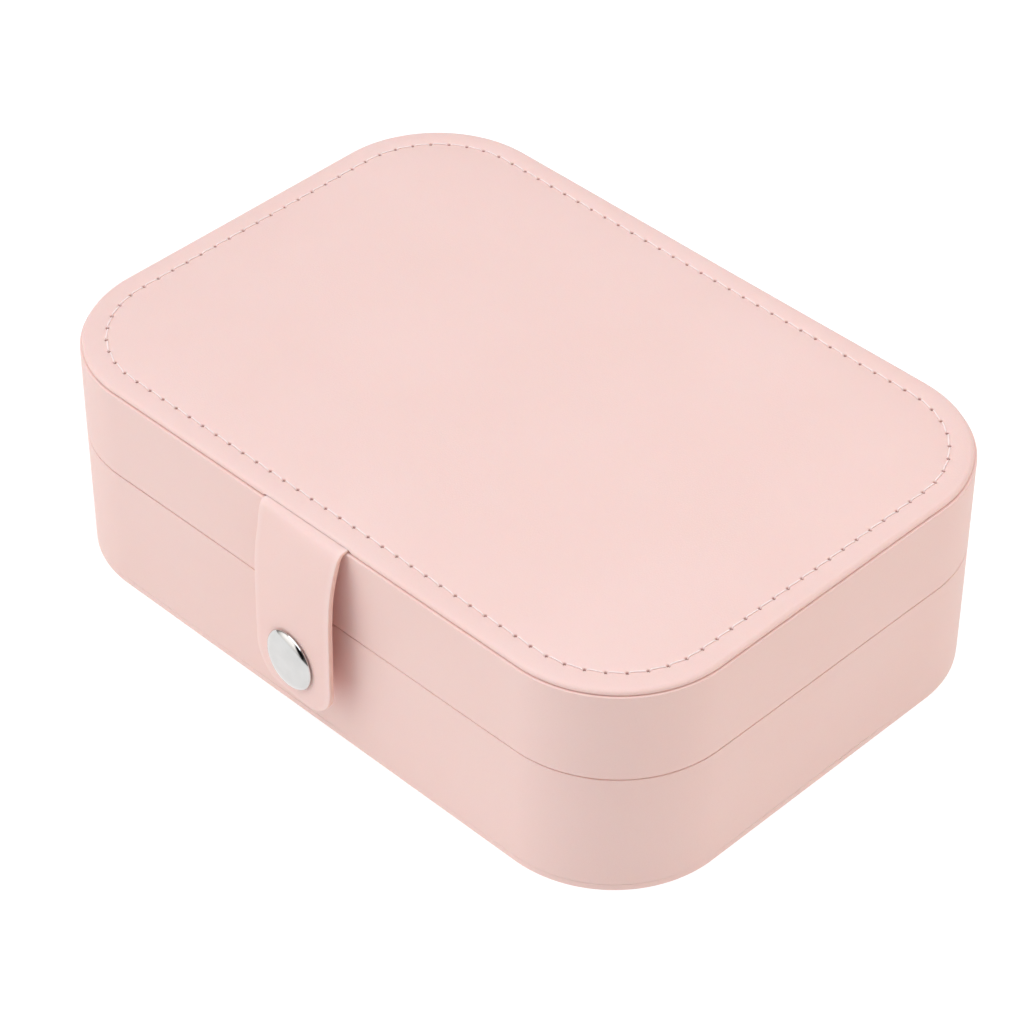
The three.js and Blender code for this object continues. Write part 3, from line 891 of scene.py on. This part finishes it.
def make_snaps():
    """The strap's snap, and the three smaller ones of the necklace tabs."""
    height = middle_and_half("snap_cap")[0][2]
    face = (0, FRONT, height)
    turned_front = (-math.sin(STRAP_TURN), -math.cos(STRAP_TURN), 0)
    make_cap("snap_cap_polished", "snap_cap", "strap", (0, STRAP_FACE, height), turned_front)
    make_round_part("snap_socket_turned", "snap_socket", "strap", SOCKET, (0, -1, 0), face)
    make_round_part("snap_stud_turned", "snap_stud", "base", STUD, (0, -1, 0), face)
    panel = box_mm("necklace_panel")[0][2]
    down = (0, 0, -1)
    for side in ("left", "middle", "right"):
        x, y, _ = middle_and_half(f"tab_cap_{side}")[0]
        body = f"tab_{side}"
        tab = box_mm(f"necklace_tab_{side}")[0][2]
        make_cap(f"tab_cap_{side}_polished", f"tab_cap_{side}", body, (x, y, tab), down, TAB_SNAP_SCALE)
        face = (x, y, panel)
        for part, rides, section in (("socket", body, SOCKET), ("stud", "lid", STUD)):
            node = f"tab_{part}_{side}"
            make_round_part(f"{node}_turned", node, rides, section, down, face, TAB_SNAP_SCALE)


# ---- Hinge strip ----

HINGE_SEAM_INSET = 2.2


def make_hinge():
    """One strip of leather over the split at the back, stitched along both edges."""
    low, _ = box_mm("hinge_strip_lower")
    _, high = box_mm("hinge_strip_upper")
    half_z = (high[2] - low[2]) / 2
    middle_z = (high[2] + low[2]) / 2
    track = Track(420, high[0], half_z, 3.0)
    outer, inner = high[1], low[1]
    profile = [(half_z, outer), *((i, outer) for i in (9, 8, 7, 6, 5, 4, 3, 2.4, 1.8, 1.2, 0.8))]
    profile += [(0.4, outer - 0.03), (0.12, outer - 0.15), (0, outer - 0.35), (0, inner + 0.2)]
    profile += [(i, inner) for i in (0.2, 1, 3, 6, half_z)]
    grid = track.grid(profile)
    x, z, y = grid[..., 0], grid[..., 1], grid[..., 2]
    shown = y > (inner + outer) / 2
    crease = 0.16 * np.exp(-((z / 0.7) ** 2)) * shown
    between_ends = np.abs(x) < high[0] - 2
    seam = 0.12 * np.exp(-(((half_z - HINGE_SEAM_INSET - np.abs(z)) / 0.5) ** 2)) * shown * between_ends
    moved = np.stack([-x, y - crease - seam, z + middle_z], -1)
    faces = grid_faces(track.count, len(profile), True, False)
    strip = mesh_object("hinge_leather", moved.reshape(-1, 3), faces)
    place(strip, leather, None, ["hinge_strip_lower", "hinge_strip_upper"])
    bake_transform(strip)
    seam_end = high[0] - 3
    count = round(2 * seam_end / STITCH_PITCH)
    xs = np.linspace(-seam_end, seam_end, count + 1)
    lines = {"lower": ("base", low[2] + HINGE_SEAM_INSET), "upper": ("lid", high[2] - HINGE_SEAM_INSET)}
    for name, (body, z_line) in lines.items():
        holes = [(x_hole, outer - 0.05, z_line) for x_hole in xs]
        row = stitching(f"hinge_stitching_{name}", holes, [(0, 1, 0)] * len(holes), False)
        place(row, thread, body)


# ---- Velvet lining, dividers and ring pads ----

def fuzz(grid, amount, seed=2):
    """Moves vertices a little, as velvet is never quite flat."""
    return grid + smooth_noise(grid, 4, seed)[..., None] * amount


def lining_ring(name, node, body, rim_is_top):
    """A wall's velvet lining, with its rim well rounded."""
    low, high = box_mm(node)
    bottom, top = low[2], high[2]
    outer = HALF_X - high[0]
    inner = outer + LINING
    bottom_round, top_round = (0.1, 0.38) if rim_is_top else (0.38, 0.1)
    corners = [(outer, bottom, 0.1), (outer, top, top_round)]
    corners += [(inner, top, top_round), (inner, bottom, bottom_round)]
    profile = with_rows([tuple(p) for p in rounded(corners, 4)], 6)
    piece = carry_round(name, Track(496), profile, lambda g: fuzz(g, 0.04), True)
    place(piece, velvet, body, [node])


def pad_plate(name, node, body, shown_is_top):
    """A flat velvet-covered pad with soft edges and a slight crown on the side that shows."""
    low, high = box_mm(node)
    inset = HALF_X - high[0]
    crown = 0.12
    insets = [inset + 0.9, inset + 2, inset + 6, 16, 28, 44, HALF_Y]
    rise = [0, 0.02, 0.06, 0.1, crown, crown, crown]
    top = high[2] - (crown if shown_is_top else 0)
    bottom = low[2] + (0 if shown_is_top else crown)
    upper = [(i, top + (r if shown_is_top else 0)) for i, r in zip(insets, rise)]
    lower = [(i, bottom - (0 if shown_is_top else r)) for i, r in zip(insets, rise)]
    side = [(inset + 0.4, top - 0.08), (inset + 0.1, top - 0.3), (inset, (top + bottom) / 2)]
    side += [(inset + 0.1, bottom + 0.3), (inset + 0.4, bottom + 0.08)]
    piece = carry_round(name, Track(372), [*upper[::-1], *side, *lower], lambda g: fuzz(g, 0.03))
    place(piece, velvet, body, [node])


def bar(name, node, body, axis, section, end_round=0.7, step=1.5, slack=0):
    """A velvet bar along X or Y with soft ends. section is its outline, as (across, height).

    slack is how much smaller than its space it is all round.
    """
    low, high = box_mm(node)
    low, high = low + slack, high - slack
    along, across = (0, 1) if axis == "X" else (1, 0)
    length = high[along] - low[along]
    quarter = end_round * (1 - np.cos(np.linspace(0, math.pi / 2, 5)))
    between = np.arange(end_round + step, length - end_round - step / 2, step)
    stops = np.r_[quarter, between, length - quarter[::-1]]
    middle = np.array([(low[across] + high[across]) / 2, (low[2] + high[2]) / 2])
    loops = []
    for s in stops:
        near = min(s, length - s, end_round) / end_round
        inset = end_round * (1 - math.sqrt(1 - (1 - near) ** 2))
        half = np.array([(high[across] - low[across]) / 2, (high[2] - low[2]) / 2])
        scale = (half - inset) / half
        points = (section - middle) * scale + middle
        loop = np.zeros((len(points), 3))
        loop[:, along] = low[along] + s
        loop[:, across] = points[:, 0]
        loop[:, 2] = points[:, 1]
        loops.append(loop)
    loops = fuzz(np.array(loops), 0.05, len(name))
    piece = loft(name, loops)
    return place(piece, velvet, body, [node])


def make_dividers():
    """The four dividers, velvet over board, with round tops."""
    axes = {
        "long_divider_left": "Y",
        "long_divider_right": "Y",
        "cross_divider_left": "X",
        "cross_divider_right": "X",
    }
    for node, axis in axes.items():
        low, high = box_mm(node)
        across = 1 if axis == "X" else 0
        a, b = low[across], high[across]
        round_top = (b - a) * 0.45
        corners = [(a, low[2], 0.2), (b, low[2], 0.2), (b, high[2], round_top), (a, high[2], round_top)]
        bar(f"{node}_velvet", node, "base", axis, dense(rounded(corners, 6), 2.5))


PAD_SLACK = 0.55  # the room left for a pad to swell into
PAD_VOXEL = 1.2
PAD_PRESSURE = 45.0
SWELL_FRAMES = 20


def coordinates(mesh):
    """A mesh's vertex positions as an array."""
    flat = np.empty(len(mesh.vertices) * 3)
    mesh.vertices.foreach_get("co", flat)
    return flat.reshape(-1, 3)


def applied(piece):
    """Puts a piece's modifiers, as they stand at the current frame, into its mesh."""
    mesh = bpy.data.meshes.new_from_object(piece.evaluated_get(bpy.context.evaluated_depsgraph_get()))
    piece.modifiers.clear()
    piece.data = mesh


def swell(pieces, voxel, pressure, furthest):
    """Blows pads up as cloth does round its filling, by no more than furthest, in millimetres."""
    scene = bpy.context.scene
    for piece in pieces:
        piece.modifiers.clear()
        remesh = piece.modifiers.new("even_mesh", "REMESH")
        remesh.mode = "VOXEL"
        remesh.voxel_size = voxel * MM
        applied(piece)
        cloth = piece.modifiers.new("filling", "CLOTH")
        cloth.settings.use_pressure = True
        cloth.settings.uniform_pressure_force = pressure
        cloth.settings.effector_weights.gravity = 0
        cloth.point_cache.frame_start, cloth.point_cache.frame_end = 1, SWELL_FRAMES
    before = [coordinates(piece.data) for piece in pieces]
    for step in range(1, SWELL_FRAMES + 1):
        scene.frame_set(step)
    for piece, start in zip(pieces, before):
        applied(piece)
        moved = coordinates(piece.data) - start
        size = np.linalg.norm(moved, axis=1, keepdims=True)
        capped = start + moved * np.minimum(1, furthest * MM / np.maximum(size, 1e-9))
        piece.data.vertices.foreach_set("co", capped.ravel())
    scene.frame_set(1)
    for piece in pieces:
        piece.data.polygons.foreach_set("use_smooth", [True] * len(piece.data.polygons))
        smooth = piece.modifiers.new("even_nap", "SMOOTH")
        smooth.factor, smooth.iterations = 0.5, 4
        applied(piece)
        fine = piece.modifiers.new("fine", "SUBSURF")
        fine.levels = fine.render_levels = 1


def make_ring_pads():
    """Rolls of foam in velvet, side by side. Their cloth is swelled by its filling."""
    nodes = sorted(n for n in frame["nodes"] if n.startswith("ring_pad_"))
    pads = []
    for node in nodes:
        low, high = box_mm(node)
        a, b = low[1] + PAD_SLACK, high[1] - PAD_SLACK
        bottom, top = low[2] + PAD_SLACK, high[2] - PAD_SLACK
        radius = (b - a) / 2
        arch = [(radius * math.cos(t), radius * math.sin(t)) for t in np.linspace(0, math.pi, 21)]
        crown = [((a + b) / 2 + dy, top - radius + dz) for dy, dz in arch]
        section = dense(np.array([(a, bottom), (b, bottom), *crown]), 1.6)
        pads.append(bar(f"{node}_velvet", node, "base", "X", section, 1.6, 1.4, PAD_SLACK))
    swell(pads, PAD_VOXEL, PAD_PRESSURE, PAD_SLACK)
    for pad in pads:
        pad.data.materials.clear()
        pad.data.materials.append(velvet)


# ---- Lid pocket and necklace tabs ----

def make_pocket():
    """Satin gathered on an elastic: sewn flat round three sides, and full along its mouth."""
    low, high = box_mm("lid_pocket")
    hem_low, hem_high = box_mm("pocket_hem")
    ceiling = high[2] - 0.3
    deepest = high[2] - low[2] - 1.1
    across = np.linspace(low[0], high[0], 561)
    back = np.linspace(0, 1, 61)
    cloth = 0.45
    rng = np.random.default_rng(5)
    phases = np.cumsum(rng.uniform(0.6, 1.4, 40))

    def drop(x, share):
        """How far below the ceiling the cloth hangs. share runs from the mouth to the back seam."""
        from_side = np.minimum(x - low[0], high[0] - x)
        side = 1 - np.exp(-np.maximum(from_side - 1.0, 0) / 4.5)
        seam = 1 - np.exp(-np.maximum((1 - share) * (high[1] - low[1]) - 1.0, 0) / 5)
        return deepest * side * seam

    def gathers(x, share):
        """The cloth's waves, close together at the mouth and fading towards the back seam."""
        wave = np.interp(x, np.linspace(low[0], high[0], 40), phases) * 2 * math.pi * 0.62
        fade = np.exp(-share * 2.6)
        spread = 0.55 * np.sin(wave) + 0.2 * np.sin(2.3 * wave + 1.1 + 3 * share)
        late = 0.25 * np.sin(0.6 * wave + 2) * share * (1 - share) * 4
        return spread * fade + late

    x, share = np.meshgrid(across, back, indexing="ij")
    y = low[1] + 0.3 + share * (high[1] - low[1] - 0.6)
    depth = drop(x, share)
    z = ceiling - depth + gathers(x, share) * (depth / deepest)
    outer = np.stack([x, y, z - cloth / 2], -1)
    inner = np.stack([x, y, z + cloth / 2], -1)
    rows, columns = x.shape
    layer = rows * columns
    faces = grid_faces(rows, columns, False, False)
    below = [[v + layer for v in face[::-1]] for face in faces]
    border = [i * columns for i in range(rows)]
    border += [(rows - 1) * columns + j for j in range(1, columns)]
    border += [i * columns + columns - 1 for i in range(rows - 2, -1, -1)]
    border += list(range(columns - 2, 0, -1))
    sides = [[a, b, b + layer, a + layer] for a, b in zip(border, border[1:] + border[:1])]
    vertices = np.vstack([outer.reshape(-1, 3), inner.reshape(-1, 3)])
    cloth_piece = mesh_object("lid_pocket_satin", vertices, faces + below + sides)
    place(cloth_piece, satin, "lid", ["lid_pocket"])

    hem_x = np.linspace(hem_low[0] + 0.4, hem_high[0] - 0.4, 420)
    middle_y = (hem_low[1] + hem_high[1]) / 2 + 0.6
    angles = np.linspace(0, 2 * math.pi, 22, endpoint=False)
    loops = []
    for hx in hem_x:
        hang = float(drop(np.array(hx), np.array(0.0)))
        ruffle = float(gathers(np.array(hx), np.array(0.0))) * hang / deepest
        half_y = 1.9 + 0.25 * ruffle
        half_z = 0.62 + 0.1 * math.sin(hx * 2.1)
        middle_z = ceiling - hang + ruffle * 0.8
        loops.append([(hx, middle_y + half_y * math.cos(a), middle_z + half_z * math.sin(a)) for a in angles])
    hem = loft("pocket_hem_elastic", loops)
    place(hem, satin, "lid", ["pocket_hem"])


def make_necklace_panel():
    """The leather panel under the lid that the necklace tabs close on, stitched all round."""
    middle, half = middle_and_half("necklace_panel")
    centre, (half_x, half_y) = middle[:2], half[:2]
    top, bottom = middle[2] + half[2], middle[2] - half[2]
    corner, seam_inset = 4, 2.2
    profile = [(i, top) for i in (half_y, 8, 3, 0.5)]
    profile += [(0.15, top - 0.08), (0, top - 0.3), (0, bottom + 0.35), (0.12, bottom + 0.14)]
    profile += [(i, bottom) for i in (0.4, 0.9, 1.4, 1.8)]
    profile += [(seam_inset, bottom + 0.15), (2.6, bottom), (4, bottom - 0.04)]
    profile += [(i, bottom - 0.05) for i in (7, half_y)]
    track = Track(560, half_x, half_y, corner, centre)
    panel = carry_round("necklace_panel_leather", track, profile)
    place(panel, leather, "lid", ["necklace_panel"])
    seam_length = Track(4, half_x, half_y, corner, centre, seam_inset).length
    count = round(seam_length / STITCH_PITCH)
    line = Track(count, half_x, half_y, corner, centre, seam_inset).at(seam_inset)
    holes = np.column_stack([line, np.full(count, bottom + 0.08)])
    seam = stitching("necklace_panel_stitching", holes, [(0, 0, -1)] * count, True)
    place(seam, thread, "lid")


def make_necklace_tabs():
    """The three tabs: each is sewn on at one end and bends from the panel at the other."""
    for side in ("left", "middle", "right"):
        node = f"necklace_tab_{side}"
        low, high = box_mm(node)
        snap_y = middle_and_half(f"tab_cap_{side}")[0][1]
        ply = 0.7
        top, flat = high[2], low[2] + ply
        path = [
            (low[1], top - ply), (low[1] + 5, top - 0.8 - ply), (snap_y - 5, flat - ply),
            (snap_y, flat - ply), (high[1], flat - ply),
        ]
        centre, half = (axis[0] for axis in middle_and_half(node))
        tip_radius = half - 0.5
        tab = ribbon(f"{node}_leather", spline(path, 120), half, lambda share: ply, tip_radius, 0.2)
        place(tab, leather, None, [node])
        paint_edges(tab, half, tip_radius, high[1], 1)
        tab.data.transform(Matrix.Translation(mm(centre, 0, 0)))
        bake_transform(tab)


# ---- Nodes of the frame that stay ----

def finish_frame_nodes():
    """Gives every CAD node its slot's material."""
    looks = {
        "board": board,
        "foam": foam,
        "leather": leather,
        "satin": satin,
        "steel": metal,
        "velvet": velvet,
    }
    for entry in frame["record"]["subparts"]:
        node = frame["nodes"][entry["node"]]
        node.data.materials.clear()
        node.data.materials.append(looks[entry["material_slot"]])


# ---- Studio ----

# Each light's place and size are in metres, its power in watts.
LIGHTS = {
    "fill_right": ((1.08, 0.6, 0.55), (0.9, 0.8), 4.35, (1.18, 1, 0.85)),
    "overhead": ((0.0, -0.05, 1.25), (1.5, 1.6), 17.0, (0.945, 1, 1.06)),
}
SKY_HORIZON, SKY_ZENITH = 0.15, 0.02
# In the sky: the middle of a wide soft light, and of the one dark place, which the snap's cap mirrors.
# Angles are the degrees from the middle to where the edge starts and ends.
WINDOW = Vector((-0.5, -0.75, 0.42))
WINDOW_ANGLES = (10, 53)
WINDOW_GLOW = 1.51
WINDOW_FOOT = 0.68  # the share of its glow that it has at the horizon
DARK_DOOR = Vector((0.28, -0.82, 0.43))
DARK_DOOR_ANGLES = (17, 27)
SKY_COLOUR = (1.0, 0.98, 0.96)
FLOOR_COLOUR = (0.99, 1.0, 1.0)
FLOOR_GLOW = 0.86


def make_lights():
    """The two area lights, both aimed at the middle of the case."""
    for name, (position, size, power, colour) in LIGHTS.items():
        light = bpy.data.lights.new(name, "AREA")
        light.shape = "RECTANGLE"
        light.size, light.size_y = size
        light.energy = power
        light.color = colour
        lamp = bpy.data.objects.new(name, light)
        lamp.location = position
        lamp.rotation_mode = "QUATERNION"
        lamp.rotation_quaternion = (Vector((0, 0, 0.03)) - Vector(position)).to_track_quat("-Z", "Y")
        bpy.context.scene.collection.objects.link(lamp)


def make_sky():
    """A faint light from all round, with a wide soft light at the left and one dark place."""
    world = bpy.data.worlds.new("studio")
    bpy.context.scene.world = world
    world.use_nodes = True
    nodes, link = world.node_tree.nodes, world.node_tree.links.new

    def ramp(value, low, high, to_low, to_high):
        node = nodes.new("ShaderNodeMapRange")
        node.interpolation_type = "SMOOTHSTEP"
        for key, number in (("From Min", low), ("From Max", high), ("To Min", to_low), ("To Max", to_high)):
            node.inputs[key].default_value = number
        link(value, node.inputs["Value"])
        return node.outputs["Result"]

    direction = nodes.new("ShaderNodeTexCoord").outputs["Generated"]
    height = nodes.new("ShaderNodeSeparateXYZ")
    link(direction, height.inputs[0])

    def patch(middle, angles, inside, outside):
        """A round patch of the sky. angles are degrees from its middle to its edge's two ends."""
        facing = nodes.new("ShaderNodeVectorMath")
        facing.operation = "DOT_PRODUCT"
        facing.inputs[1].default_value = middle.normalized()
        link(direction, facing.inputs[0])
        near, far = (math.cos(math.radians(a)) for a in angles)
        return ramp(facing.outputs["Value"], far, near, outside, inside)

    def combine(operation, first, second):
        node = nodes.new("ShaderNodeMath")
        node.operation = operation
        link(first, node.inputs[0])
        link(second, node.inputs[1])
        return node.outputs["Value"]

    sky = ramp(height.outputs["Z"], 0, 0.9, SKY_HORIZON, SKY_ZENITH)
    window = patch(WINDOW, WINDOW_ANGLES, WINDOW_GLOW, 0)
    window = combine("MULTIPLY", window, ramp(height.outputs["Z"], 0, 0.45, WINDOW_FOOT, 1))
    lit = combine("ADD", sky, window)
    strength = combine("MULTIPLY", lit, patch(DARK_DOOR, DARK_DOOR_ANGLES, 0, 1))
    link(strength, nodes["Background"].inputs["Strength"])
    nodes["Background"].inputs["Color"].default_value = (*SKY_COLOUR, 1)


def make_floor():
    """A plain pale floor that glows a little, so that it stays white."""
    mesh = bpy.data.meshes.new("floor")
    half = 6
    corners = [(-half, -half, 0), (half, -half, 0), (half, half, 0), (-half, half, 0)]
    mesh.from_pydata(corners, [], [(0, 1, 2, 3)])
    floor = bpy.data.objects.new("floor", mesh)
    bpy.context.scene.collection.objects.link(floor)
    n = Nodes("pale_floor")
    n.finish(FLOOR_GREY, 0.9, specular=0.0)
    n.shader.inputs["Emission Color"].default_value = (*FLOOR_COLOUR, 1)
    n.shader.inputs["Emission Strength"].default_value = FLOOR_GLOW
    mesh.materials.append(n.material)


CAMERA_AZIMUTH, CAMERA_ELEVATION, CAMERA_ROLL = 44.574, 40.544, 0.253  # in degrees
CAMERA_AIM = Vector(mm(-4.009, 1.823, 14.605))
CAMERA_DISTANCE = 0.7512
CAMERA_LENS = 129.12


def make_camera():
    azimuth, elevation, roll = map(math.radians, (CAMERA_AZIMUTH, CAMERA_ELEVATION, CAMERA_ROLL))
    across = math.cos(elevation)
    back = Vector((math.sin(azimuth) * across, -math.cos(azimuth) * across, math.sin(elevation)))
    data = bpy.data.cameras.new("camera")
    data.sensor_width = 36
    data.lens = CAMERA_LENS
    camera = bpy.data.objects.new("camera", data)
    camera.location = CAMERA_AIM + back * CAMERA_DISTANCE
    camera.rotation_mode = "QUATERNION"
    turn = Quaternion((0, 0, 1), roll)
    camera.rotation_quaternion = (-back).to_track_quat("-Z", "Y") @ turn
    bpy.context.scene.collection.objects.link(camera)
    bpy.context.scene.camera = camera


bpy.context.scene.view_settings.view_transform = "Standard"
make_camera()
make_lights()
make_sky()
make_floor()
finish_frame_nodes()
make_bottom()
make_side_wraps()
make_top_cover()
make_foam()
make_strap()
make_snaps()
make_hinge()
lining_ring("base_wall_velvet", "base_wall_lining", "base", True)
lining_ring("lid_wall_velvet", "lid_wall_lining", "lid", False)
pad_plate("base_floor_velvet", "base_floor_pad", "base", True)
pad_plate("lid_ceiling_velvet", "lid_ceiling_pad", "lid", False)
make_dividers()
make_ring_pads()
make_pocket()
make_necklace_panel()
make_necklace_tabs()
